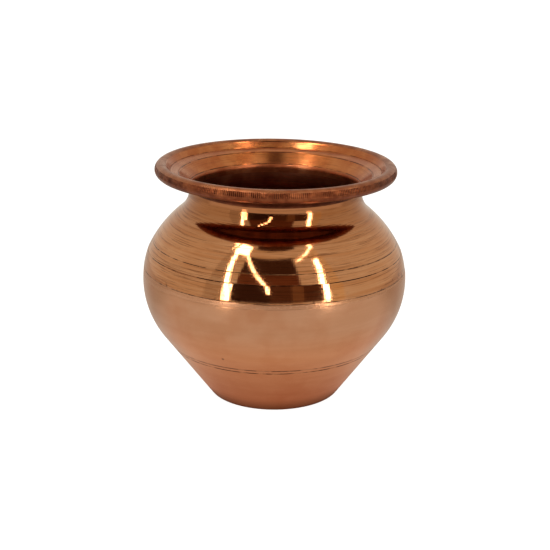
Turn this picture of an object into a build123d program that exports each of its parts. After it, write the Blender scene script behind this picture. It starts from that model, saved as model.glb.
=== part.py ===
from build123d import *
import os
from math import asin, atan2, cos, degrees, hypot, radians, sin

# Kalash: an open round copper water pot, spun and turned from sheet.
# Millimetres, +Z up. The origin is on the pot's axis, in the plane that it stands on.
# Base cup, bowl wall and upper shell lap one another, and each lap is brazed.
# The edge of the mouth is rolled over a round wire.
# Every shell is drawn as the line of a face, then given the sheet's thickness.

# Driving dimensions: the profile
wall = 0.9                # thickness of the sheet
belly_radius = 56.0       # widest outside radius
belly_height = 50.9       # height of the widest point
belly_arc = 36.8          # radius of the belly's profile
bowl_angle = 36.6         # lean of the lower wall from the vertical, degrees
foot_corner = 3.0         # radius between the foot and the lower wall
dish_radius = 21.0        # radius of the dish pressed into the underside
dish_depth = 1.2          # height of the dish at its middle
seam_angle = 8.75         # slope of the belly at its seam, just above the widest point, degrees
belly_end = 20.3          # slope where the belly's arc ends, degrees
shoulder_angle = 25.7     # slope of the shoulder just above that, degrees
shoulder_arc = 49.0       # radius of the shoulder's profile
throat_radius = 35.4      # inside radius of the neck at its narrowest
throat_height = 89.2      # height where the neck's outside becomes upright
throat_length = 1.0       # length of the straight throat
throat_round = 2.4        # radius of the turn from the throat out into the lip
step_radius = 40.6        # radius of the step turned in the lip
step_height = 96.3        # height of that step
bead_foot_radius = 44.0   # radius where the lip starts to rise into the rolled bead
bead_foot_height = 97.3   # height of that foot
bead_circle = 47.9        # radius of the circle that the bead's centre follows
bead_radius = 2.8         # outside radius of the bead's section
rim_height = 100.8        # overall height

# Driving dimensions: the joints
base_seam_height = 24.9   # height of the seam between base cup and bowl wall
lap = 5.0                 # how far a shell reaches up inside the next one
joggle = 2.1              # length over which a shell is set in, just below its lap
braze_gap = 0.12          # thickness of the braze between lapped shells
curl_angle = 200.0        # where the rolled edge ends under the lip, degrees round the wire

# Worked out from these, with points as (radius, height)
set_in = wall + braze_gap
wire_radius = bead_radius - wall
belly_centre = (belly_radius - belly_arc, belly_height)
bead_centre = (bead_circle, rim_height - bead_radius)


def on_arc(centre, radius, angle):
    """The point of a profile arc whose outward normal rises by angle, in degrees."""
    return (centre[0] + radius * cos(radians(angle)), centre[1] + radius * sin(radians(angle)))


# The lower wall is the straight tangent to the belly arc at -bowl_angle.
wall_top = on_arc(belly_centre, belly_arc, -bowl_angle)
lean = (sin(radians(bowl_angle)), cos(radians(bowl_angle)))
wall_offset = wall_top[0] * lean[1] - wall_top[1] * lean[0]
foot_radius = (wall_offset - foot_corner * (1 - lean[0])) / lean[1]
corner_centre = (foot_radius, foot_corner)
dish_arc = (dish_radius**2 + dish_depth**2) / (2 * dish_depth)
dish_half = degrees(asin(dish_radius / dish_arc)) / 2
dish_middle = on_arc((0, dish_depth - dish_arc), dish_arc, 90 - dish_half)


def on_wall(along, inset=0.0):
    """A point up the lower wall from the base seam, moved in from its outside by inset."""
    seam_radius = (wall_offset + base_seam_height * lean[0]) / lean[1]
    return (
        seam_radius + along * lean[0] - inset * lean[1],
        base_seam_height + along * lean[1] + inset * lean[0],
    )


# The belly and shoulder arcs meet at a slight angle, some way above the belly seam.
shoulder_foot = on_arc(belly_centre, belly_arc, belly_end)
shoulder_centre = on_arc(shoulder_foot, -shoulder_arc, shoulder_angle)
joggle_angle = seam_angle - degrees(joggle / belly_arc)
lap_angle = degrees(lap / (belly_arc - set_in))

# The neck is a cove that touches the shoulder's arc and ends upright at the throat.
neck_reach = throat_radius + wall - shoulder_centre[0]
neck_rise = throat_height - shoulder_centre[1]
cove_arc = (neck_reach**2 + neck_rise**2 - shoulder_arc**2) / (2 * (shoulder_arc - neck_reach))
cove_centre = (throat_radius + wall + cove_arc, throat_height)
neck_angle = degrees(atan2(neck_rise, neck_reach + cove_arc))


def tangent_rise(start, centre, radius):
    """The angle at which a line from start, rising over the centre, touches a circle."""
    across = (centre[0] - start[0], centre[1] - start[1])
    return degrees(atan2(across[1], across[0]) + asin(radius / hypot(*across)))


# The lip leaves the throat's turn along a tangent, and runs into the bead along another.
turn_centre = (throat_radius + throat_round, throat_height + throat_length)
turn_reach = (step_radius - turn_centre[0], step_height - turn_centre[1])
flare_rise = degrees(atan2(turn_reach[1], turn_reach[0]) - asin(throat_round / hypot(*turn_reach)))
lip_angle = 90 + tangent_rise((bead_foot_radius, bead_foot_height), bead_centre, bead_radius)

# Base cup: dished bottom, flat foot ring, rounded corner, lower wall, joggle and lap
with BuildPart() as base_cup:
    with BuildSketch(Plane.XZ):
        with BuildLine():
            dish = ThreePointArc((0, dish_depth), dish_middle, (dish_radius, 0))
            corner = CenterArc(corner_centre, foot_corner, -90, 90 - bowl_angle)
            Line(dish @ 1, corner @ 0)
            Polyline(corner @ 1, on_wall(-joggle), on_wall(0, set_in), on_wall(lap, set_in))
            offset(amount=wall, side=Side.LEFT, kind=Kind.INTERSECTION)
        make_face()
    revolve(axis=Axis.Z)

# Bowl wall: the rest of the lower cone, the belly, joggle and lap
with BuildPart() as bowl_wall:
    with BuildSketch(Plane.XZ):
        with BuildLine():
            belly = CenterArc(belly_centre, belly_arc, -bowl_angle, bowl_angle + joggle_angle)
            lapped = CenterArc(belly_centre, belly_arc - set_in, seam_angle, lap_angle)
            Line(on_wall(0), belly @ 0)
            Line(belly @ 1, lapped @ 0)
            offset(amount=wall, side=Side.LEFT, kind=Kind.INTERSECTION)
        make_face()
    revolve(axis=Axis.Z)

# Upper shell: belly, shoulder and neck up to the throat; then lip and bead, rolled over the wire
with BuildPart() as upper_shell:
    with BuildSketch(Plane.XZ):
        with BuildLine():
            upper_belly = CenterArc(belly_centre, belly_arc, seam_angle, belly_end - seam_angle)
            ThreePointArc(
                upper_belly @ 1,
                on_arc(shoulder_centre, shoulder_arc, (shoulder_angle + neck_angle) / 2),
                on_arc(shoulder_centre, shoulder_arc, neck_angle),
            )
            ThreePointArc(
                on_arc(shoulder_centre, shoulder_arc, neck_angle),
                on_arc(cove_centre, cove_arc, 180 + neck_angle / 2),
                (throat_radius + wall, throat_height),
            )
            offset(amount=wall, side=Side.LEFT, kind=Kind.INTERSECTION)
        make_face()
        with BuildLine():
            turn = CenterArc(turn_centre, throat_round, 180, flare_rise - 90)
            Line((throat_radius, throat_height), turn @ 0)
            Polyline(
                turn @ 1,
                (step_radius, step_height),
                (bead_foot_radius, bead_foot_height),
                on_arc(bead_centre, bead_radius, lip_angle),
            )
            offset(amount=wall, side=Side.RIGHT, kind=Kind.ARC)
        make_face()
        with BuildLine():
            rolled = CenterArc(bead_centre, bead_radius, lip_angle, curl_angle - 360 - lip_angle)
            on_wire = CenterArc(bead_centre, wire_radius, lip_angle, curl_angle - 360 - lip_angle)
            Line(rolled @ 0, on_wire @ 0)
            Line(rolled @ 1, on_wire @ 1)
        make_face()
    revolve(axis=Axis.Z)

# Rim wire: a round hoop that fills the rolled edge
with BuildPart() as rim_wire:
    with BuildSketch(Plane.XZ):
        with Locations(bead_centre):
            Circle(wire_radius)
    revolve(axis=Axis.Z)

# Base braze: fills the base cup's joggle flush, and the lap above it
with BuildPart() as base_braze:
    with BuildSketch(Plane.XZ):
        with BuildLine():
            Polyline(
                on_wall(-joggle),
                on_wall(0),
                on_wall(0, wall),
                on_wall(lap, wall),
                on_wall(lap, set_in),
                on_wall(0, set_in),
                close=True,
            )
        make_face()
    revolve(axis=Axis.Z)

# Belly braze: the same for the bowl wall's joggle and lap
with BuildPart() as belly_braze:
    with BuildSketch(Plane.XZ):
        with BuildLine():
            flush = CenterArc(belly_centre, belly_arc, joggle_angle, seam_angle - joggle_angle)
            outside = CenterArc(belly_centre, belly_arc - wall, seam_angle, lap_angle)
            inside = CenterArc(belly_centre, belly_arc - set_in, seam_angle, lap_angle)
            Line(flush @ 1, outside @ 0)
            Line(outside @ 1, inside @ 1)
            Line(inside @ 0, flush @ 0)
        make_face()
    revolve(axis=Axis.Z)

pieces = {
    "base_cup": base_cup,
    "bowl_wall": bowl_wall,
    "upper_shell": upper_shell,
    "rim_wire": rim_wire,
    "base_braze": base_braze,
    "belly_braze": belly_braze,
}
os.makedirs("parts", exist_ok=True)
for name, piece in pieces.items():
    piece.part.label = name
    export_step(piece.part, f"parts/{name}.step")
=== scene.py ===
from math import asin, atan2, cos, degrees, hypot, pi, radians, sin

import bpy
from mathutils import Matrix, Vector


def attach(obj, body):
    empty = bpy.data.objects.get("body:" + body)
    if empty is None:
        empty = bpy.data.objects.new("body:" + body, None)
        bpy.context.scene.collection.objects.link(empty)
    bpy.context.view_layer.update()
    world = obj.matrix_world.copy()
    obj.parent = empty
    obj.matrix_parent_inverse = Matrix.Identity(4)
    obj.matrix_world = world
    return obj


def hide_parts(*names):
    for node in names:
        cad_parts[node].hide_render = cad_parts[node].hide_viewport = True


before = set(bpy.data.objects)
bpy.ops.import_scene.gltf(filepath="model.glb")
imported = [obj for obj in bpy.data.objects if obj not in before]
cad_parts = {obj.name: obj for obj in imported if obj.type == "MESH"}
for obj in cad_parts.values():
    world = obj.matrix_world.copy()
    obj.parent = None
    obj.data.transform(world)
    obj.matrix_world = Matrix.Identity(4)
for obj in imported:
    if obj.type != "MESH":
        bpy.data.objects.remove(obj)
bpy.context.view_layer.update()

# A copper kalash: base cup, bowl wall and upper shell, each spun from sheet on a lathe.
# Profiles are drawn in millimetres as (distance from the axis, height); the scene is in metres.

MM = 0.001

# ---------------------------------------------------------------- the pot's own sizes, mm
SHEET = 0.9                    # thickness of the sheet
BELLY_RADIUS = 56.0            # widest outside radius
BELLY_HEIGHT = 50.9
BELLY_ARC = 36.8               # radius of the belly's profile
BOWL_ANGLE = 36.6              # lean of the lower wall from the vertical, degrees
FOOT_CORNER = 3.0              # rounding between the foot and the lower wall
DISH_RADIUS = 21.0             # dish pressed into the underside
DISH_DEPTH = 1.2
SEAM_ANGLE = 8.75              # slope of the belly at its seam, degrees
BELLY_END = 20.3               # slope where the belly's arc ends, degrees
SHOULDER_ANGLE = 25.7          # slope of the shoulder just above that, degrees
SHOULDER_ARC = 49.0            # radius of the shoulder's profile
THROAT_RADIUS = 35.4           # inside radius of the neck at its narrowest
THROAT_HEIGHT = 89.2           # height where the neck's outside becomes upright
THROAT_LENGTH = 1.0
THROAT_ROUND = 2.4             # radius of the turn from the throat out into the lip
STEP = (40.6, 96.3)            # step turned in the lip
BEAD_FOOT = (44.0, 97.3)       # where the lip starts to rise into the rolled bead
BEAD_RADIUS = 2.8
BEAD_CENTRE = (47.9, 98.0)
BASE_SEAM_HEIGHT = 24.9
LAP = 5.0                      # how far a shell reaches up inside the next one
JOGGLE = 2.1                   # length over which a shell is set in below its lap
BRAZE_GAP = 0.12
CURL_ANGLE = 200.0             # where the rolled edge ends, degrees round the wire
WIRE_PLAY = 0.02               # between the wire and the edge rolled round it

# Turned lines and grooves; a score is (half its width, its depth)
GROOVE_FLOOR = 0.4             # the share of a groove's width that is cut to its full depth
CUP_SCORE = (0.2, 0.03)        # round the base cup, where it is set in
BOWL_SCORE = (0.3, 0.03)       # round the lower edge of the bowl wall
BELLY_SCORE = (0.2, 0.13)      # where the belly's arc ends
RINGS = [(67.6, 0.2, 0.05)]    # faint rings on the shoulder, each with its height first
STEP_SCORE = (0.3, 0.12)       # in the lip, at its step
FLARE_SCORE = (0.3, 0.07)      # in the lip, at the foot of its flare
BEAD_RIDGE = (0.3, 0.2, -0.05) # a ridge on the rise to the bead, with how far up it is first
SEAM_GROOVE = 0.55             # width of the groove turned at the belly seam
SEAM_DEEP = 0.15
BRAZE_FOOT = (0.3, 0.05, 0.12) # groove along the base braze's lower edge: width, depth, flank
BRAZE_TOP = (0.22, 0.06, 0.14) # the same along its upper edge
BELLY_BRAZE_FOOT = (0.3, 0.05) # along the belly braze's lower edge: flank, in degrees, and depth
THROAT_EDGE = 0.2              # how far below the foot of the flare the polish stops

# The knurled band on the bead, in degrees round it
KNURL_TOP = 46.0
KNURL_FOOT = -8.0
KNURL_FADE = 3.0               # the plain strip along both its edges
TEETH = 395                    # teeth round the bead, 0.8 mm apart
TOOTH_DEPTH = 0.12

# The upper shell was brazed on a little out of true: it leans to one side, in radians.
LEAN = 0.0157
LEAN_FROM = 54.4               # height where the lean starts, in the braze below the seam
LEAN_FULL = 56.4               # height from which it is whole

WOBBLE = 0.05                  # how far hand work leaves the shells off round
SEED = 3.0                     # for the wobble and for the wear of the teeth
TURNS = 384                    # facets round a plain piece
TOOTH_FACETS = 4               # facets for each tooth of a knurled one
CREASE = 38.0                  # an edge folded less than this is shaded smooth, degrees
SAME_POINT = 1e-4              # points of a profile closer than this are one


# ---------------------------------------------------------------- profiles
# A profile point is (distance from the axis, height, groove), where groove is 1 at the bottom
# of a turned groove and 0 on the plain face.
def polar(centre, radius, angle):
    return (centre[0] + radius * cos(radians(angle)), centre[1] + radius * sin(radians(angle)))


def arc(centre, radius, start, end, step=0.6):
    """Points along a profile arc, about step mm apart, both ends included."""
    count = max(2, round(abs(radians(end - start)) * radius / step))
    return [(*polar(centre, radius, start + (end - start) * k / count), 0.0) for k in range(count + 1)]


def line(start, end, step=1.5):
    """Points along a straight stretch, both ends included."""
    count = max(1, round(hypot(end[0] - start[0], end[1] - start[1]) / step))
    return [
        tuple(start[i] + (end[i] - start[i]) * k / count for i in (0, 1)) + (0.0,)
        for k in range(count + 1)
    ]


def joined(*stretches):
    """Stretches one after another, with a point that two of them share kept once."""
    path = []
    for stretch in stretches:
        for point in stretch:
            if not path or hypot(point[0] - path[-1][0], point[1] - path[-1][1]) > SAME_POINT:
                path.append(point)
    return path


def lengths(path):
    """How far along the path each of its points is."""
    total = [0.0]
    for a, b in zip(path, path[1:]):
        total.append(total[-1] + hypot(b[0] - a[0], b[1] - a[1]))
    return total


def lefts(path):
    """Vectors to the left of the path, longer at corners so that an offset keeps its distance."""
    found = []
    for k in range(len(path)):
        before, here, after = path[max(k - 1, 0)], path[k], path[min(k + 1, len(path) - 1)]
        one = Vector((here[0] - before[0], here[1] - before[1]))
        two = Vector((after[0] - here[0], after[1] - here[1]))
        one = (one if one.length > 0 else two).normalized()
        two = (two if two.length > 0 else one).normalized()
        both = (one + two).normalized()
        stretch = 1 / max(0.5, both.dot(one))
        found.append((-both.y * stretch, both.x * stretch))
    return found


def moved(path, distance):
    """The path moved to its left by distance."""
    return [(p[0] + n[0] * distance, p[1] + n[1] * distance, 0.0) for p, n in zip(path, lefts(path))]


def scored(path, grooves):
    """The path with turned grooves in it, each (how far along, half its width, depth to the left)."""
    places, left = lengths(path), lefts(path)
    wanted = set(places)
    for place, half, _ in grooves:
        wanted -= {p for p in wanted if abs(p - place) < half and 0 < p < places[-1]}
        wanted |= {place + half * share for share in (-1.0, -GROOVE_FLOOR, 0.0, GROOVE_FLOOR, 1.0)}
    flank_middle = (1 + GROOVE_FLOOR) / 2
    found = []
    for p in sorted(w for w in wanted if 0 <= w <= places[-1]):
        k = min(max(sum(q <= p for q in places) - 1, 0), len(path) - 2)
        share = (p - places[k]) / (places[k + 1] - places[k])
        point = [path[k][i] + (path[k + 1][i] - path[k][i]) * share for i in (0, 1)]
        side = [left[k][i] + (left[k + 1][i] - left[k][i]) * share for i in (0, 1)]
        deep = sum(depth for place, half, depth in grooves if abs(p - place) < half * flank_middle)
        found.append((point[0] + side[0] * deep, point[1] + side[1] * deep, 1.0 if deep else 0.0))
    return found


set_in = SHEET + BRAZE_GAP
belly_centre = (BELLY_RADIUS - BELLY_ARC, BELLY_HEIGHT)
wall_top = polar(belly_centre, BELLY_ARC, -BOWL_ANGLE)
lean_sin, lean_cos = sin(radians(BOWL_ANGLE)), cos(radians(BOWL_ANGLE))
wall_offset = wall_top[0] * lean_cos - wall_top[1] * lean_sin
foot_radius = (wall_offset - FOOT_CORNER * (1 - lean_sin)) / lean_cos
dish_arc = (DISH_RADIUS**2 + DISH_DEPTH**2) / (2 * DISH_DEPTH)
dish_span = degrees(asin(DISH_RADIUS / dish_arc))
shoulder_centre = polar(polar(belly_centre, BELLY_ARC, BELLY_END), -SHOULDER_ARC, SHOULDER_ANGLE)
joggle_angle = SEAM_ANGLE - degrees(JOGGLE / BELLY_ARC)
lap_angle = SEAM_ANGLE + degrees(LAP / (BELLY_ARC - set_in))
edge_angle = SEAM_ANGLE + degrees(SEAM_GROOVE / 2 / BELLY_ARC)
to_foot = (BEAD_CENTRE[0] - BEAD_FOOT[0], BEAD_CENTRE[1] - BEAD_FOOT[1])
lip_angle = 90 + degrees(atan2(to_foot[1], to_foot[0]) + asin(BEAD_RADIUS / hypot(*to_foot)))

# The neck is a cove that touches the shoulder's arc and ends upright at the throat
neck_reach = THROAT_RADIUS + SHEET - shoulder_centre[0]
neck_rise = THROAT_HEIGHT - shoulder_centre[1]
cove_arc = (neck_reach**2 + neck_rise**2 - SHOULDER_ARC**2) / (2 * (SHOULDER_ARC - neck_reach))
cove_centre = (THROAT_RADIUS + SHEET + cove_arc, THROAT_HEIGHT)
neck_angle = degrees(atan2(neck_rise, neck_reach + cove_arc))

# The throat turns out into the flare of the lip along a tangent
turn_centre = (THROAT_RADIUS + THROAT_ROUND, THROAT_HEIGHT + THROAT_LENGTH)
turn_reach = (STEP[0] - turn_centre[0], STEP[1] - turn_centre[1])
turn_end = 90 + degrees(atan2(turn_reach[1], turn_reach[0]) - asin(THROAT_ROUND / hypot(*turn_reach)))
flare_foot = polar(turn_centre, THROAT_ROUND, turn_end)


def on_wall(along, inset=0.0):
    """A point up the lower wall from the base seam, moved in from its outside by inset."""
    seam_radius = (wall_offset + BASE_SEAM_HEIGHT * lean_sin) / lean_cos
    return (
        seam_radius + along * lean_sin - inset * lean_cos,
        BASE_SEAM_HEIGHT + along * lean_cos + inset * lean_sin,
    )


# ---------------------------------------------------------------- nodes
def add(tree, kind, inputs=(), **settings):
    """Add a node with its settings. Each input, by name or number, is given a value, a socket, or
    another node for its first output."""
    node = tree.nodes.new(kind)
    for name, value in settings.items():
        setattr(node, name, value)
    for key, value in dict(inputs).items():
        if isinstance(value, bpy.types.Node):
            value = value.outputs[0]
        if isinstance(value, bpy.types.NodeSocket):
            tree.links.new(value, node.inputs[key])
        else:
            node.inputs[key].default_value = value
    return node


def linear(hex_colour):
    """An sRGB hex colour as linear red, green, blue and alpha."""
    shares = [int(hex_colour[i : i + 2], 16) / 255 for i in (1, 3, 5)]
    return (*[c / 12.92 if c <= 0.04045 else ((c + 0.055) / 1.055) ** 2.4 for c in shares], 1.0)


# ---------------------------------------------------------------- the lathe
FINISHES = 5                   # the most finishes that one turned piece has


def lathe():
    """Geometry Nodes: turns a profile about Z, with knurled teeth, a lean and a hand-made wobble.

    The profile's vertices hold distance from the axis as X, place along the outline as Y and
    height as Z. Its attributes groove, tooth and finish go with each vertex."""
    tree = bpy.data.node_groups.new("lathe", "GeometryNodeTree")
    tree.interface.new_socket("Geometry", in_out="OUTPUT", socket_type="NodeSocketGeometry")
    for name, kind in (
        ("Profile", "Geometry"),
        ("Turns", "Int"),
        ("Closed", "Int"),
        ("Teeth", "Int"),
        ("Tooth Depth", "Float"),
        ("Lean", "Float"),
        ("Lean From", "Float"),
        ("Lean Full", "Float"),
        ("Wobble", "Float"),
        ("Seed", "Float"),
        *((f"Finish {k}", "Material") for k in range(FINISHES)),
    ):
        tree.interface.new_socket(name, in_out="INPUT", socket_type="NodeSocket" + kind)
    given = add(tree, "NodeGroupInput").outputs

    # A grid with a row for each vertex of the profile, and one more that closes it, and a column
    # for each step round the axis
    points = add(tree, "GeometryNodeAttributeDomainSize", {0: given["Profile"]}, component="MESH")
    rows = add(tree, "ShaderNodeMath", {0: points, 1: given["Closed"]}, operation="ADD")
    last_row = add(tree, "ShaderNodeMath", {0: rows, 1: 1.0}, operation="SUBTRACT")
    columns = add(tree, "ShaderNodeMath", {0: given["Turns"], 1: 1.0}, operation="ADD")
    grid = add(
        tree,
        "GeometryNodeMeshGrid",
        {"Size X": last_row, "Size Y": given["Turns"], "Vertices X": rows, "Vertices Y": columns},
    )

    # The grid has its middle at the origin, so half of it is added to count from its edge
    position = add(tree, "GeometryNodeInputPosition")
    on_grid = add(tree, "ShaderNodeSeparateXYZ", {0: position}).outputs
    counted = []
    for size, place in ((last_row, on_grid[0]), (given["Turns"], on_grid[1])):
        from_edge = add(tree, "ShaderNodeMath", {0: size, 1: 0.5, 2: place}, operation="MULTIPLY_ADD")
        counted.append(add(tree, "ShaderNodeMath", {0: from_edge}, operation="ROUND"))
    row, column = counted
    turned_share = add(tree, "ShaderNodeMath", {0: column, 1: given["Turns"]}, operation="DIVIDE")
    turn = add(tree, "ShaderNodeMath", {0: turned_share, 1: 2 * pi}, operation="MULTIPLY")
    cosine = add(tree, "ShaderNodeMath", {0: turn}, operation="COSINE")
    sine = add(tree, "ShaderNodeMath", {0: turn}, operation="SINE")

    # Each row reads the profile at its own vertex, and the closing row reads the first one again
    wrapped = add(tree, "ShaderNodeMath", {0: row, 1: points}, operation="MODULO")
    vertex = add(tree, "FunctionNodeFloatToInt", {0: wrapped}, rounding_mode="ROUND")
    drawn = {}
    for name, kind in (
        ("position", "FLOAT_VECTOR"),
        ("groove", "FLOAT"),
        ("tooth", "FLOAT"),
        ("finish", "FLOAT"),
    ):
        field = position
        if name != "position":
            field = add(tree, "GeometryNodeInputNamedAttribute", {"Name": name}, data_type=kind)
        drawn[name] = add(
            tree,
            "GeometryNodeSampleIndex",
            {"Geometry": given["Profile"], "Value": field, "Index": vertex},
            data_type=kind,
            domain="POINT",
        )
    reach, along, height = add(tree, "ShaderNodeSeparateXYZ", {0: drawn["position"]}).outputs

    # Teeth: a rounded cut between each two, worn unevenly round the bead
    around = add(tree, "ShaderNodeCombineXYZ", {0: cosine, 1: sine, 2: given["Seed"]})
    wear = add(tree, "ShaderNodeTexNoise", {"Vector": around, "Scale": 9.0, "Detail": 3.0})
    worn = add(tree, "ShaderNodeMapRange", {"Value": wear, 1: 0.35, 2: 0.6, 3: 0.35, 4: 1.0})
    tooth_turn = add(tree, "ShaderNodeMath", {0: turn, 1: given["Teeth"]}, operation="MULTIPLY")
    wave = add(tree, "ShaderNodeMath", {0: tooth_turn}, operation="COSINE")
    half_wave = add(tree, "ShaderNodeMath", {0: 0.5, 1: wave}, operation="MULTIPLY")
    cut = add(tree, "ShaderNodeMath", {0: 0.5, 1: half_wave}, operation="SUBTRACT")
    for share in (drawn["tooth"], worn):
        cut = add(tree, "ShaderNodeMath", {0: cut, 1: share}, operation="MULTIPLY")
    depth = add(tree, "ShaderNodeMath", {0: cut, 1: given["Tooth Depth"]}, operation="MULTIPLY")
    reach = add(tree, "ShaderNodeMath", {0: reach, 1: depth}, operation="SUBTRACT")

    # Wobble: hand work leaves the shell a few hundredths of a millimetre off round, in swells about
    # 22 mm apart that die out within 20 mm of the axis
    true_x = add(tree, "ShaderNodeMath", {0: cosine, 1: reach}, operation="MULTIPLY")
    true_y = add(tree, "ShaderNodeMath", {0: sine, 1: reach}, operation="MULTIPLY")
    true_place = add(tree, "ShaderNodeCombineXYZ", {0: true_x, 1: true_y, 2: height})
    swell = add(
        tree,
        "ShaderNodeTexNoise",
        {"Vector": true_place, "W": given["Seed"], "Scale": 45.0, "Detail": 1.0},
        noise_dimensions="4D",
    )
    either_way = add(tree, "ShaderNodeMath", {0: swell, 1: 0.5}, operation="SUBTRACT")
    swollen = add(tree, "ShaderNodeMath", {0: either_way, 1: given["Wobble"]}, operation="MULTIPLY")
    off_axis = add(tree, "ShaderNodeMapRange", {"Value": reach, 1: 0.0, 2: 0.02})
    wobble = add(tree, "ShaderNodeMath", {0: swollen, 1: off_axis}, operation="MULTIPLY")
    reach = add(tree, "ShaderNodeMath", {0: reach, 1: wobble}, operation="ADD")
    x = add(tree, "ShaderNodeMath", {0: cosine, 1: reach}, operation="MULTIPLY")
    y = add(tree, "ShaderNodeMath", {0: sine, 1: reach}, operation="MULTIPLY")

    # Lean: above the belly the shell tips over towards +X
    tip = add(
        tree,
        "ShaderNodeMapRange",
        {"Value": height, 1: given["Lean From"], 2: given["Lean Full"], 3: 0.0, 4: given["Lean"]},
        interpolation_type="SMOOTHSTEP",
    )
    above = add(tree, "ShaderNodeMath", {0: height, 1: given["Lean From"]}, operation="SUBTRACT")
    aside = add(tree, "ShaderNodeMath", {0: tip, 1: above}, operation="MULTIPLY")
    dropped = add(tree, "ShaderNodeMath", {0: tip, 1: x}, operation="MULTIPLY")
    leaned_x = add(tree, "ShaderNodeMath", {0: x, 1: aside}, operation="ADD")
    leaned_z = add(tree, "ShaderNodeMath", {0: height, 1: dropped}, operation="SUBTRACT")
    leaned = add(tree, "ShaderNodeCombineXYZ", {0: leaned_x, 1: y, 2: leaned_z})

    # Attributes for the finishes, then the mesh itself
    geometry = grid
    turning = add(tree, "ShaderNodeCombineXYZ", {0: along, 1: x, 2: y})
    grooved = add(tree, "ShaderNodeMath", {0: drawn["groove"], 1: cut}, operation="MAXIMUM")
    for name, kind, value in (
        ("turning", "FLOAT_VECTOR", turning),
        ("groove", "FLOAT", grooved),
        ("finish", "FLOAT", drawn["finish"]),
    ):
        geometry = add(
            tree,
            "GeometryNodeStoreNamedAttribute",
            {"Geometry": geometry, "Name": name, "Value": value},
            data_type=kind,
            domain="POINT",
        )
    geometry = add(tree, "GeometryNodeSetPosition", {"Geometry": geometry, "Position": leaned})
    # The last column meets the first, and a row on the axis becomes one point
    geometry = add(tree, "GeometryNodeMergeByDistance", {"Geometry": geometry, "Distance": 2e-7})
    fold = add(tree, "GeometryNodeInputMeshEdgeAngle")
    gentle = add(
        tree, "FunctionNodeCompare", {0: fold, 1: radians(CREASE)}, data_type="FLOAT", operation="LESS_THAN"
    )
    geometry = add(
        tree, "GeometryNodeSetShadeSmooth", {"Geometry": geometry, "Shade Smooth": gentle}, domain="EDGE"
    )
    geometry = add(tree, "GeometryNodeRealizeInstances", {"Geometry": geometry})

    # Each finish covers its own zone and those after it, so the last one laid on a zone is its own
    zone = add(tree, "GeometryNodeInputNamedAttribute", {"Name": "finish"}, data_type="FLOAT")
    for k in range(FINISHES):
        covered = add(
            tree, "FunctionNodeCompare", {0: zone, 1: k - 0.5}, data_type="FLOAT", operation="GREATER_THAN"
        )
        geometry = add(
            tree,
            "GeometryNodeSetMaterial",
            {"Geometry": geometry, "Selection": covered, "Material": given[f"Finish {k}"]},
        )
    add(tree, "NodeGroupOutput", {0: geometry})
    return tree


LATHE = lathe()


def signed_volume(mesh):
    """Six times the volume inside the mesh, below zero where its faces point inwards."""
    mesh.calc_loop_triangles()
    corners = [v.co for v in mesh.vertices]
    return sum(
        corners[a].dot(corners[b].cross(corners[c])) for a, b, c in (t.vertices for t in mesh.loop_triangles)
    )


def turned(name, zones, stands_for, closed=True, turns=TURNS, teeth=None):
    """Turn a piece on the lathe from zones of (profile points, material), in order round its outline."""
    outline, finishes, names = [], [], []
    for path, material in zones:
        if material.name not in names:
            names.append(material.name)
        for point in path:
            if outline and hypot(point[0] - outline[-1][0], point[1] - outline[-1][1]) < SAME_POINT:
                continue
            outline.append(point)
            finishes.append(float(names.index(material.name)))
    profile = bpy.data.meshes.new(name + "_profile")
    places = lengths(outline)
    profile.from_pydata([(p[0] * MM, s * MM, p[1] * MM) for p, s in zip(outline, places)], [], [])
    values = {
        "groove": [p[2] for p in outline],
        "finish": finishes,
        "tooth": [teeth(p) if teeth else 0.0 for p in outline],
    }
    for key, numbers in values.items():
        profile.attributes.new(key, "FLOAT", "POINT").data.foreach_set("value", numbers)
    blank = bpy.data.objects.new(name + "_blank", profile)
    bpy.context.scene.collection.objects.link(blank)
    modifier = blank.modifiers.new("lathe", "NODES")
    modifier.node_group = LATHE
    sockets = {s.name: s.identifier for s in LATHE.interface.items_tree if s.in_out == "INPUT"}
    inputs = {
        "Turns": turns,
        "Closed": int(closed),
        "Teeth": TEETH,
        "Tooth Depth": TOOTH_DEPTH * MM,
        "Lean": LEAN,
        "Lean From": LEAN_FROM * MM,
        "Lean Full": LEAN_FULL * MM,
        "Wobble": WOBBLE * MM,
        "Seed": SEED,
    }
    for k in range(FINISHES):
        inputs[f"Finish {k}"] = bpy.data.materials[names[min(k, len(names) - 1)]]
    for key, value in inputs.items():
        modifier[sockets[key]] = value
    bpy.context.view_layer.update()
    view = bpy.context.evaluated_depsgraph_get()
    mesh = bpy.data.meshes.new_from_object(blank.evaluated_get(view), depsgraph=view)
    mesh.name = name
    if signed_volume(mesh) < 0:
        mesh.flip_normals()
    piece = bpy.data.objects.new(name, mesh)
    bpy.context.scene.collection.objects.link(piece)
    bpy.data.objects.remove(blank)
    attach(piece, "root")
    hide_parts(*stands_for)


# ---------------------------------------------------------------- finishes
def new_material(name):
    """A material with an empty node tree, and that tree."""
    material = bpy.data.materials.new(name)
    material.use_nodes = True
    material.node_tree.nodes.clear()
    return material, material.node_tree


def streaks(tree, across, around, detail=2.0, roughness=0.6):
    """Noise drawn out round the pot, by its size across the turning lines and along them, in mm.

    Lines from turning and polishing are under a tenth of a millimetre wide. They are drawn coarser
    than that, so that they show."""
    turning = add(tree, "ShaderNodeAttribute", attribute_name="turning").outputs["Vector"]
    size = (1 / (across * MM), 1 / (around * MM), 1 / (around * MM))
    drawn = add(tree, "ShaderNodeMapping", {"Vector": turning, "Scale": size})
    inputs = {"Vector": drawn, "Scale": 1.0, "Detail": detail, "Roughness": roughness}
    return add(tree, "ShaderNodeTexNoise", inputs)


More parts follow.
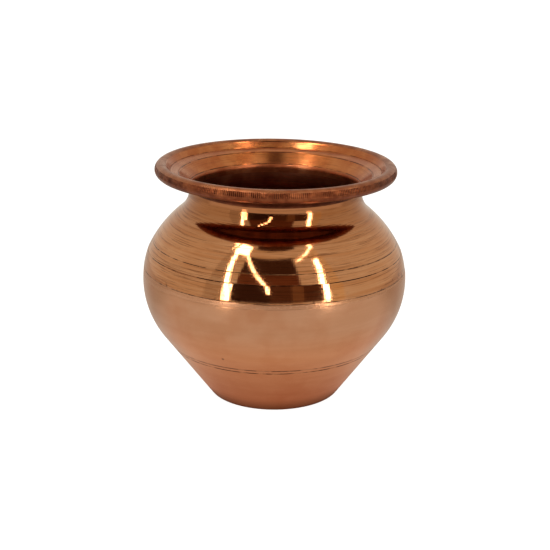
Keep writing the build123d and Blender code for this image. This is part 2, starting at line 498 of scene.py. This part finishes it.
def cloud(tree, size, detail=3.0):
    """Plain noise in the object's own space, by the size of its blotches in mm."""
    spot = add(tree, "ShaderNodeTexCoord").outputs["Object"]
    inputs = {"Vector": spot, "Scale": 1 / (size * MM), "Detail": detail, "Roughness": 0.55}
    return add(tree, "ShaderNodeTexNoise", inputs)


def groove(tree):
    """Tarnish and painted shade in the grooves: it lies there unevenly, so a fine one reads as a broken
    line.
    """
    patchy = add(tree, "ShaderNodeMapRange", {0: cloud(tree, 4.5), 1: 0.42, 2: 0.56, 3: 0.2, 4: 1.0})
    deep = add(tree, "ShaderNodeAttribute", attribute_name="groove").outputs["Fac"]
    return add(tree, "ShaderNodeMath", {0: deep, 1: patchy}, operation="MULTIPLY")


def layered(tree, colour, layers):
    """A colour with layers of other colours over it, as a socket. Each layer is (pattern, the
    pattern's values where the layer starts and where it is strongest, how strong, colour)."""
    below = colour
    for pattern, bare, covered, strength, over in layers:
        share = add(tree, "ShaderNodeMapRange", {0: pattern, 1: bare, 2: covered, 3: 0.0, 4: strength})
        below, over = (linear(c) if isinstance(c, str) else c for c in (below, over))
        below = add(tree, "ShaderNodeMix", {0: share, 6: below, 7: over}, data_type="RGBA").outputs[2]
    return below


def metal(tree, colour, roughness, relief, anisotropic=0.0):
    """The shader of a metal. Its roughness is one value, or (pattern, low, high, roughness at low,
    at high), and its relief is (height from 0 to 1, how high 1 is in mm)."""
    if isinstance(roughness, tuple):
        roughness = add(tree, "ShaderNodeMapRange", dict(enumerate(roughness)))
    height, distance = relief
    bump = add(tree, "ShaderNodeBump", {"Height": height, "Distance": distance * MM, "Strength": 1.0})
    inputs = {"Base Color": colour, "Metallic": 1.0, "Roughness": roughness, "Normal": bump}
    if anisotropic:
        # The lines run round the pot, so a highlight is drawn out up and down
        inputs["Tangent"] = add(tree, "ShaderNodeTangent", direction_type="RADIAL", axis="Z")
        inputs["Anisotropic"] = anisotropic
        inputs["Anisotropic Rotation"] = 0.25
    add(tree, "ShaderNodeOutputMaterial", {"Surface": add(tree, "ShaderNodeBsdfPrincipled", inputs)})


# A pit in the bowl, low on the left of its front: along the wall above the base seam, then turned
PIT_ALONG = 6.3
PIT_TURN = radians(-24.7)
pit_reach, pit_height = on_wall(PIT_ALONG)
PIT = (pit_reach * sin(PIT_TURN) * MM, -pit_reach * cos(PIT_TURN) * MM, pit_height * MM)


def spun_copper():
    """Spun copper, buffed to a soft mirror: pale and even, with barely any lines from the spinning."""
    material, tree = new_material("spun_copper_buffed")
    fine = streaks(tree, 0.3, 16)
    spot = add(tree, "ShaderNodeTexCoord").outputs["Object"]
    from_pit = add(tree, "ShaderNodeVectorMath", {0: spot, 1: PIT}, operation="DISTANCE").outputs["Value"]
    layers = [
        (streaks(tree, 3.0, 30), 0.35, 0.65, 1.0, "#C3916E"),
        (cloud(tree, 14, detail=4.0), 0.45, 0.7, 0.6, "#B67A53"),
        (from_pit, 0.6 * MM, 0.3 * MM, 0.95, "#4A2212"),
        # tarnish and painted shade in the grooves
        (groove(tree), 0.0, 0.7, 1.0, "#54260F"),
    ]
    colour = layered(tree, "#BE8B67", layers)
    metal(tree, colour, (fine, 0.3, 0.7, 0.2, 0.24), (fine, 0.001), anisotropic=0.35)
    return material


def polished_copper():
    """Copper turned fine and polished: near mirror, with dark hairlines round it. It is browner at the
    neck, and frayed along the seam."""
    material, tree = new_material("turned_copper_polished")
    fine = streaks(tree, 0.45, 26, detail=4.0, roughness=0.75)
    spot = add(tree, "ShaderNodeTexCoord").outputs["Object"]
    height = add(tree, "ShaderNodeSeparateXYZ", {0: spot}).outputs["Z"]
    torn = add(tree, "ShaderNodeMapRange", {0: cloud(tree, 3.2, detail=4.0), 1: 0.59, 2: 0.66})
    hem = add(tree, "ShaderNodeMapRange", {0: height, 1: 59.2 * MM, 2: 56.8 * MM})
    frayed = add(tree, "ShaderNodeMath", {0: torn, 1: hem}, operation="MULTIPLY")
    layers = [
        (streaks(tree, 1.4, 60), 0.35, 0.65, 1.0, "#D1996E"),
        (cloud(tree, 18), 0.45, 0.75, 0.5, "#B87647"),
        (height, 74 * MM, 84 * MM, 0.6, "#96592F"),
        (fine, 0.52, 0.68, 0.85, "#6A3719"),
        (frayed, 0.0, 1.0, 0.9, "#5A2C14"),
        # tarnish and painted shade in the grooves
        (groove(tree), 0.0, 0.8, 1.0, "#33160A"),
    ]
    colour = layered(tree, "#C5875A", layers)
    metal(tree, colour, (fine, 0.4, 0.75, 0.03, 0.16), (fine, 0.006), anisotropic=0.3)
    return material


def lip_copper():
    """Copper on the lip's top face: buffed by hand to a satin, redder than the polished shoulder."""
    material, tree = new_material("spun_copper_lip")
    lines = streaks(tree, 0.5, 20, detail=3.0)
    layers = [
        (cloud(tree, 8, detail=4.0), 0.4, 0.65, 1.0, "#C07A4B"),
        (lines, 0.5, 0.7, 0.5, "#7E452A"),
        # tarnish and painted shade in the grooves
        (groove(tree), 0.0, 1.0, 0.9, "#47200F"),
    ]
    metal(tree, layered(tree, "#AE643A", layers), (lines, 0.35, 0.7, 0.14, 0.25), (lines, 0.004))
    return material


def rim_copper():
    """Handled copper on the rolled rim: browned by touch, satin, with rubbed paler patches."""
    material, tree = new_material("rolled_copper_browned")
    patches = cloud(tree, 5, detail=4.0)
    layers = [
        (patches, 0.4, 0.65, 1.0, "#A86C49"),
        # tarnish and painted shade in the grooves
        (groove(tree), 0.0, 1.0, 0.85, "#34170C"),
    ]
    relief = (cloud(tree, 0.9, detail=2.0), 0.008)
    metal(tree, layered(tree, "#8A5034", layers), (patches, 0.4, 0.65, 0.36, 0.26), relief)
    return material


def knurled_copper():
    """The knurled band on the rim: tarnish and painted shade lie between the teeth, and only their crests
    shine.
    """
    material, tree = new_material("knurled_copper_tarnish_and_painted_shade")
    # The band's dark colours, darkest at the teeth's roots, are tarnish and painted shade together
    tarnish_and_shade = groove(tree)
    layers = [
        (cloud(tree, 4, detail=4.0), 0.4, 0.65, 1.0, "#8A4E30"),
        (tarnish_and_shade, 0.05, 0.7, 1.0, "#2E140A"),
    ]
    relief = (cloud(tree, 0.6, detail=2.0), 0.01)
    metal(tree, layered(tree, "#6A3620", layers), (tarnish_and_shade, 0.0, 1.0, 0.34, 0.55), relief)
    return material


def inside_copper():
    """Unpolished copper inside the pot: dull red brown, with the spinning tool's wider rings."""
    material, tree = new_material("spun_copper_oxidised")
    rings = streaks(tree, 0.8, 50)
    layers = [
        (cloud(tree, 12), 0.4, 0.65, 1.0, "#AC6F52"),
        (rings, 0.4, 0.7, 0.4, "#5C2D1C"),
    ]
    colour = layered(tree, "#8A4C33", layers)
    metal(tree, colour, (rings, 0.3, 0.7, 0.32, 0.48), (rings, 0.02), anisotropic=0.3)
    return material


def shaded_copper():
    """Copper under the lip, out of the polishing wheel's reach: matt, and painted nearly black as shade
    under the overhanging lip.
    """
    material, tree = new_material("spun_copper_under_lip_painted_shade")
    colour = layered(tree, "#4E2819", [(cloud(tree, 7), 0.4, 0.65, 1.0, "#70402B")])
    metal(tree, colour, 0.5, (streaks(tree, 0.8, 50), 0.02))
    return material


def throat_copper():
    """Copper in the throat, where the polishing stopped: half bright, reddened, lined round."""
    material, tree = new_material("spun_copper_throat")
    rings = streaks(tree, 0.5, 40, detail=3.0)
    layers = [
        (cloud(tree, 9), 0.4, 0.65, 1.0, "#AE6B47"),
        (rings, 0.5, 0.75, 0.6, "#5C2D1C"),
    ]
    colour = layered(tree, "#904E30", layers)
    metal(tree, colour, (rings, 0.3, 0.7, 0.3, 0.42), (rings, 0.012), anisotropic=0.3)
    return material


def copper_braze():
    """Copper-phosphorus braze, filed flush and buffed: a shade greyer, with pinholes in it."""
    material, tree = new_material("phosphor_copper_braze")
    pinholes = cloud(tree, 0.5, detail=1.0)
    face = add(tree, "ShaderNodeMapRange", {0: pinholes, 1: 0.74, 2: 0.66})
    layers = [
        (streaks(tree, 0.6, 10), 0.35, 0.65, 1.0, "#C3916E"),
        (pinholes, 0.66, 0.74, 0.6, "#5A3220"),
        # tarnish and painted shade in the grooves
        (groove(tree), 0.0, 0.8, 1.0, "#3E1A0C"),
    ]
    metal(tree, layered(tree, "#BA8662", layers), (pinholes, 0.66, 0.74, 0.26, 0.5), (face, 0.02))
    return material


def steel_wire():
    """Drawn mild steel wire: grey, with fine scratches along it and a bloom of rust."""
    material, tree = new_material("drawn_steel_wire")
    rust = cloud(tree, 3, detail=4.0)
    colour = layered(tree, "#8C8A86", [(rust, 0.55, 0.7, 0.8, "#6B3F26")])
    metal(tree, colour, (rust, 0.55, 0.7, 0.3, 0.62), (streaks(tree, 0.1, 8), 0.01))
    return material


SPUN, POLISHED, LIP = spun_copper(), polished_copper(), lip_copper()
RIM, KNURLED = rim_copper(), knurled_copper()
INSIDE, THROAT, SHADED = inside_copper(), throat_copper(), shaded_copper()
BRAZE, STEEL = copper_braze(), steel_wire()


# ---------------------------------------------------------------- pieces
def shell(face, cuts):
    """Both faces of a sheet whose visible face, with its grooves, is given: (visible, back)."""
    return scored(face, cuts), moved(face, SHEET)[::-1]


def from_axis(path):
    """The path with its first point brought exactly onto the axis."""
    return [(0.0, *path[0][1:]), *path[1:]]


# Base cup: dished bottom, foot ring, rounded corner, lower wall, and the lap inside the bowl wall
cup_face = joined(
    arc((0, DISH_DEPTH - dish_arc), dish_arc, 90, 90 - dish_span, step=1.5),
    line((DISH_RADIUS, 0), (foot_radius, 0)),
    arc((foot_radius, FOOT_CORNER), FOOT_CORNER, -90, -BOWL_ANGLE, step=0.4),
    line(polar((foot_radius, FOOT_CORNER), FOOT_CORNER, -BOWL_ANGLE), on_wall(-JOGGLE)),
)
cup_lap = joined(line(on_wall(-JOGGLE), on_wall(0, set_in)), line(on_wall(0, set_in), on_wall(LAP, set_in)))
cup_seen, cup_back = shell(joined(cup_face, cup_lap), [(lengths(cup_face)[-1], *CUP_SCORE)])
turned(
    "turned_base_cup",
    [(from_axis(cup_seen), SPUN), (from_axis(cup_back[::-1])[::-1], INSIDE)],
    ["base_cup"],
    closed=False,
)

# Bowl wall: the rest of the lower cone, the belly, and the lap inside the upper shell
joggle_foot = polar(belly_centre, BELLY_ARC, joggle_angle)
joggle_top = polar(belly_centre, BELLY_ARC - set_in, SEAM_ANGLE)
bowl_seen, bowl_back = shell(
    joined(
        line(on_wall(0), wall_top),
        arc(belly_centre, BELLY_ARC, -BOWL_ANGLE, joggle_angle),
        line(joggle_foot, joggle_top),
        arc(belly_centre, BELLY_ARC - set_in, SEAM_ANGLE, lap_angle),
    ),
    [(0.0, *BOWL_SCORE)],
)
turned("turned_bowl_wall", [(bowl_seen, SPUN), (bowl_back, INSIDE)], ["bowl_wall"])

# Upper shell, outside: from the seam's groove over belly and shoulder to the throat
upper_belly = arc(belly_centre, BELLY_ARC, edge_angle, BELLY_END)
belly_end_place = lengths(upper_belly)[-1]
rings = [(belly_end_place, *BELLY_SCORE)]
for ring_height, half, deep in RINGS:
    ring_angle = degrees(asin((ring_height - shoulder_centre[1]) / SHOULDER_ARC))
    rings.append((belly_end_place + radians(ring_angle - SHOULDER_ANGLE) * SHOULDER_ARC, half, deep))
shell_seen = scored(
    joined(
        upper_belly,
        arc(shoulder_centre, SHOULDER_ARC, SHOULDER_ANGLE, neck_angle),
        arc(cove_centre, cove_arc, 180 + neck_angle, 180),
    ),
    rings,
)
shell_edge = [(*polar(belly_centre, BELLY_ARC - SEAM_DEEP, SEAM_ANGLE), 1.0)]

# Its lip: the top face out from the throat, and the underside below that
lip = joined(
    line((THROAT_RADIUS, THROAT_HEIGHT), polar(turn_centre, THROAT_ROUND, 180)),
    arc(turn_centre, THROAT_ROUND, 180, turn_end, step=0.5),
    line(flare_foot, STEP),
    line(STEP, BEAD_FOOT),
)
rise = line(BEAD_FOOT, polar(BEAD_CENTRE, BEAD_RADIUS, lip_angle), step=1.0)
under = moved(joined(lip, rise), -SHEET)
ledge = hypot(BEAD_FOOT[0] - STEP[0], BEAD_FOOT[1] - STEP[1])
flare = hypot(STEP[0] - flare_foot[0], STEP[1] - flare_foot[1])
lip_seen = scored(lip[::-1], [(ledge, *STEP_SCORE), (ledge + flare, *FLARE_SCORE)])
throat_seen = [p for p in lip_seen if p[1] < flare_foot[1] - THROAT_EDGE]

# Its inside, back down to the seam
shell_back = joined(
    arc(cove_centre, cove_arc + SHEET, 180, 180 + neck_angle, step=1.0),
    arc(shoulder_centre, SHOULDER_ARC - SHEET, neck_angle, SHOULDER_ANGLE, step=1.2),
    arc(belly_centre, BELLY_ARC - SHEET, BELLY_END, SEAM_ANGLE, step=1.2),
)
turned(
    "turned_upper_shell",
    [
        (shell_edge + shell_seen, POLISHED),
        # the lip's underside and the neck just below it: painted shade, nearly black
        (under[: len(lip)], SHADED),
        (lip_seen[: -len(throat_seen)], LIP),
        (throat_seen, THROAT),
        (shell_back, INSIDE),
    ],
    ["upper_shell"],
)

# The rest of the upper shell: the bead rolled round the wire, with a knurled band on its front
wire_radius = BEAD_RADIUS - SHEET
bead_top = arc(BEAD_CENTRE, BEAD_RADIUS, lip_angle, KNURL_TOP)
bead_band = arc(BEAD_CENTRE, BEAD_RADIUS, KNURL_TOP, KNURL_FOOT, step=0.35)
bead_under = arc(BEAD_CENTRE, BEAD_RADIUS, KNURL_FOOT, CURL_ANGLE - 360, step=0.8)
bead_inside = arc(BEAD_CENTRE, wire_radius, CURL_ANGLE - 360, lip_angle, step=1.4)


def knurl(point):
    """How far the teeth are cut at a point of the profile: 1 on the band, 0 off it."""
    out, up = point[0] - BEAD_CENTRE[0], point[1] - BEAD_CENTRE[1]
    on_band = KNURL_FOOT + KNURL_FADE < degrees(atan2(up, out)) < KNURL_TOP - KNURL_FADE
    return 1.0 if on_band and hypot(out, up) > (BEAD_RADIUS + wire_radius) / 2 else 0.0


turned(
    "rolled_rim_bead",
    [
        (scored(rise, [BEAD_RIDGE]), LIP),
        (bead_top, RIM),
        # The bead's underside takes the knurled band's dark finish without teeth: painted shade under the
        # bead
        (bead_band + bead_under, KNURLED),
        (bead_inside + under[len(lip) - 1 :][::-1], RIM),
    ],
    ["upper_shell"],
    turns=TOOTH_FACETS * TEETH,
    teeth=knurl,
)

# Rim wire inside the bead
turned(
    "drawn_rim_wire",
    [(arc(BEAD_CENTRE, wire_radius - WIRE_PLAY, 360, 0, step=0.8)[:-1], STEEL)],
    ["rim_wire"],
)

# Brazes: each fills a joggle almost flush and runs up the lap behind it
foot_width, foot_depth, foot_flank = BRAZE_FOOT
top_width, top_depth, top_flank = BRAZE_TOP
belly_foot_flank, belly_foot_depth = BELLY_BRAZE_FOOT
turned(
    "flowed_base_braze",
    [
        (
            joined(
                [(*on_wall(-JOGGLE), 1.0), (*on_wall(foot_width - JOGGLE, foot_depth), 1.0)],
                line(on_wall(foot_width + foot_flank - JOGGLE), on_wall(-top_width - top_flank)),
                [(*on_wall(-top_width, top_depth), 1.0), (*on_wall(0, top_depth), 1.0)],
                line(on_wall(0, SHEET), on_wall(LAP, SHEET), step=LAP),
                line(on_wall(LAP, set_in), on_wall(0, set_in), step=LAP),
            ),
            BRAZE,
        )
    ],
    ["base_braze"],
)
turned(
    "flowed_belly_braze",
    [
        (
            joined(
                [(*polar(belly_centre, BELLY_ARC - belly_foot_depth, joggle_angle), 1.0)],
                arc(belly_centre, BELLY_ARC, joggle_angle + belly_foot_flank, 2 * SEAM_ANGLE - edge_angle),
                [(*polar(belly_centre, BELLY_ARC - SEAM_DEEP, SEAM_ANGLE), 1.0)],
                arc(belly_centre, BELLY_ARC - SHEET, SEAM_ANGLE, lap_angle, step=1.2),
                arc(belly_centre, BELLY_ARC - set_in, lap_angle, SEAM_ANGLE, step=1.2),
            ),
            BRAZE,
        )
    ],
    ["belly_braze"],
)


# ---------------------------------------------------------------- stage
HEART = Vector((0.0, 0.0, 0.055))      # the point that the light tent is laid out round


def staged(name, corners, faces, material):
    """Part of the stage, from its corners and faces."""
    mesh = bpy.data.meshes.new(name)
    mesh.from_pydata(corners, [], faces)
    mesh.materials.append(material)
    made = bpy.data.objects.new(name, mesh)
    bpy.context.scene.collection.objects.link(made)
    return made


def glow(tree, colour, strength):
    """The shader of a surface that gives off light and has no other look."""
    light = add(tree, "ShaderNodeEmission", {"Color": colour, "Strength": strength})
    add(tree, "ShaderNodeOutputMaterial", {"Surface": light})


def card(name, across, up, distance, colour, strength, lean=0.0):
    """Part of the light tent, from across[0] to across[1] degrees round from the front, right being
    positive, and up[0] to up[1] degrees up; lean slides its top sideways by so many degrees."""
    columns, rows = 12, 8
    corners = []
    for j in range(rows + 1):
        for i in range(columns + 1):
            turn = radians(across[0] + (across[1] - across[0]) * i / columns + lean * j / rows)
            rise = radians(up[0] + (up[1] - up[0]) * j / rows)
            way = Vector((sin(turn) * cos(rise), -cos(turn) * cos(rise), sin(rise)))
            corners.append(HEART + way * distance)
    wide = columns + 1
    faces = [
        (j * wide + i, j * wide + i + 1, (j + 1) * wide + i + 1, (j + 1) * wide + i)
        for j in range(rows)
        for i in range(columns)
    ]
    material, tree = new_material(name)
    glow(tree, linear(colour), strength)
    made = staged(name, corners, faces, material)
    made.visible_camera = False
    made.visible_shadow = False


def tabletop():
    """White paper under strong light, so bright that the pot leaves no shadow on it."""
    material, tree = new_material("white_paper")
    inputs = {
        "Base Color": linear("#8C8C8C"),
        "Roughness": 0.9,
        "Specular IOR Level": 0.0,
        "Emission Color": linear("#FFFFFF"),
        "Emission Strength": 0.93,
    }
    paper = add(tree, "ShaderNodeBsdfPrincipled", inputs)
    add(tree, "ShaderNodeOutputMaterial", {"Surface": paper})
    staged("tabletop", [(-5, -5, 0), (5, -5, 0), (5, 7, 0), (-5, 7, 0)], [(0, 1, 2, 3)], material)


def shaded_table():
    """What polished metal sees of the table, 0.2 mm above it and seen by reflections alone, its light and
    shade painted into a glow: a painted shadow at the edge of the foot, painted copper light from the pot
    near it, and dimmer behind it than in front."""
    material, tree = new_material("shaded_table")
    spot = add(tree, "ShaderNodeTexCoord").outputs["Object"]
    out = add(tree, "ShaderNodeVectorMath", {0: spot}, operation="LENGTH").outputs["Value"]
    back = add(tree, "ShaderNodeSeparateXYZ", {0: spot}).outputs["Y"]
    # painted copper light thrown by the pot, fading out across the table
    in_front = [
        (out, 26 * MM, 50 * MM, 1.0, "#F0D2BA"),
        (out, 50 * MM, 100 * MM, 1.0, "#ECE6E2"),
    ]
    behind = layered(tree, "#6E5548", [(out, 30 * MM, 75 * MM, 1.0, "#CABFB2")])
    all_round = [
        (back, -10 * MM, 50 * MM, 1.0, behind),
        # painted shadow: a dark ring round the edge of the foot
        (out, 31.5 * MM, 26.2 * MM, 1.0, "#33201A"),
    ]
    glow(tree, layered(tree, layered(tree, "#BC8166", in_front), all_round), 1.0)
    corners = [(x, y, 0.2 * MM) for x, y in ((-3, -3), (3, -3), (3, 3), (-3, 3))]
    made = staged("shaded_table", corners, [(0, 1, 2, 3)], material)
    for ray in ("camera", "diffuse", "transmission", "volume_scatter", "shadow"):
        setattr(made, "visible_" + ray, False)


tabletop()
shaded_table()

# The tent's walls
card("tent_back", (60, 300), (-6, 62), 0.55, "#E6DED0", 0.92)
card("tent_left", (-60, -42), (-3, 62), 0.75, "#E6DCCC", 0.72)
card("tent_right", (48, 60), (-3, 62), 0.75, "#F0DDB8", 0.9)

# The room, dim beyond the tent's open front and roof
card("opening_left", (-37, -3), (0, 24), 1.2, "#7E5646", 0.22)
card("opening_right", (-3, 42), (0, 24), 1.2, "#8A5E46", 0.4)
card("opening_column", (15, 25), (0, 24), 1.19, "#A8805F", 0.55)
card("opening_top", (-35, 25), (24, 42), 1.2, "#965F42", 0.5)
card("opening_dark", (-35, 25), (42, 58), 1.2, "#74503E", 0.35)
card("ceiling_gap", (-30, 38), (66, 86), 1.2, "#74482F", 0.4)

# Bright edges of the cloth to the left of the front, split low down by its folds
card("strip_left_foot", (-42, -36), (-6.5, 0), 0.45, "#FFF6EA", 3.5)
card("strip_left_a", (-43, -41.4), (0, 24), 0.7, "#FFF8EE", 17.0)
card("strip_left_b", (-40.4, -39), (0, 24), 0.7, "#FFF8EE", 17.0)
card("strip_left_c", (-38, -36.4), (0, 24), 0.7, "#FFF8EE", 17.0)
card("strip_left_mid", (-43.5, -39.5), (24, 40), 0.7, "#FFF8EE", 15.0, lean=-4)
card("strip_left_high", (-47.5, -43.5), (40, 57), 0.7, "#FFF8EE", 15.0, lean=-5)
card("strip_left_top", (-56, -36), (57, 66), 0.7, "#FFF8EE", 13.0)

# Thin bright lines where the cloth's seams let light through
card("seam_low", (-5.6, -3.4), (12, 33), 0.7, "#FFF4E6", 11.0, lean=-4)
card("seam_high", (-10.5, -8), (33, 60), 0.7, "#FFF4E6", 13.0, lean=-28)
card("seam_right", (27, 31), (53, 62), 0.7, "#FFF4E6", 12.0, lean=33)

# The cloth's bright edge to the right of the front
card("strip_right_foot", (39, 45), (-6.5, 0), 0.45, "#FFF6EA", 5.0)
card("strip_right", (42, 46.5), (0, 30), 0.7, "#FFF8EE", 16.0)
card("strip_right_high", (42, 47), (30, 50), 0.7, "#FFF8EE", 15.0, lean=6)

# Lamps high on both sides
card("glow_left", (-84, -60), (58, 70), 0.7, "#FFF0DC", 13.0)
card("glow_right", (58, 72), (60, 68), 0.7, "#FFF0DC", 14.0)

world = bpy.data.worlds.new("soft_white")
world.use_nodes = True
world.node_tree.nodes["Background"].inputs["Color"].default_value = linear("#EFE6D6")
world.node_tree.nodes["Background"].inputs["Strength"].default_value = 0.85
bpy.context.scene.world = world
bpy.context.scene.view_settings.view_transform = "Standard"

# ---------------------------------------------------------------- camera
EYE = Vector((0.0003, -0.5574, 0.2268))
AIM = Vector((0.0003, 0.0, 0.0513))
camera = bpy.data.objects.new("camera", bpy.data.cameras.new("camera"))
camera.data.lens = 89.15
camera.location = EYE
camera.rotation_euler = (AIM - EYE).to_track_quat("-Z", "Y").to_euler()
bpy.context.scene.collection.objects.link(camera)
bpy.context.scene.camera = camera
